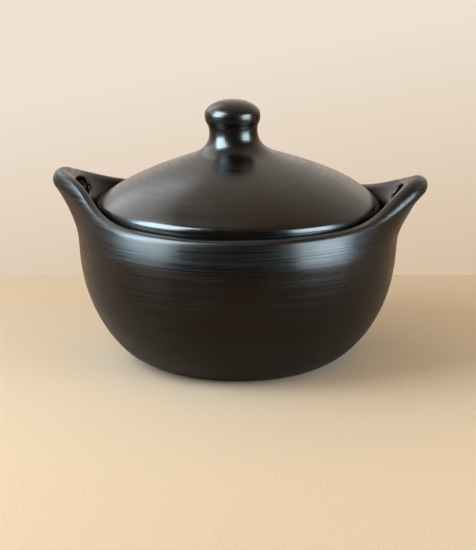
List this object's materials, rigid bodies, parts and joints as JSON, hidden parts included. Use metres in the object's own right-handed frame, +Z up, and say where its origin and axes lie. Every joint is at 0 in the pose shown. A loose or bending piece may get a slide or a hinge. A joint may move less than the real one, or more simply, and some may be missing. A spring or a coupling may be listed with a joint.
{
  "type": "casserole dish",
  "caption": "Round covered casserole dish in burnished black earthenware, with pierced ear handles drawn up from the rim and a domed, knobbed lid that lifts off its inner ledge.",
  "frame": {"origin": "centre of the pot's flat base, on the surface that it stands on", "axes": "+Z up along the pot's axis, X through both ear handles, Y across them"},
  "size_m": [0.2958, 0.252, 0.2066],
  "materials": {
    "burnished_clay": "burnished and smoke-blackened, satin sheen, unglazed"
  },
  "bodies": {
    "pot": {"pot": "burnished_clay"},
    "lid": {"lid": "burnished_clay"}
  },
  "joints": [
    {"name": "lid_lift", "type": "slide", "parent": "pot", "child": "lid", "axis": [0, 0, 1], "range_m": [0, 0.15]}
  ]
}
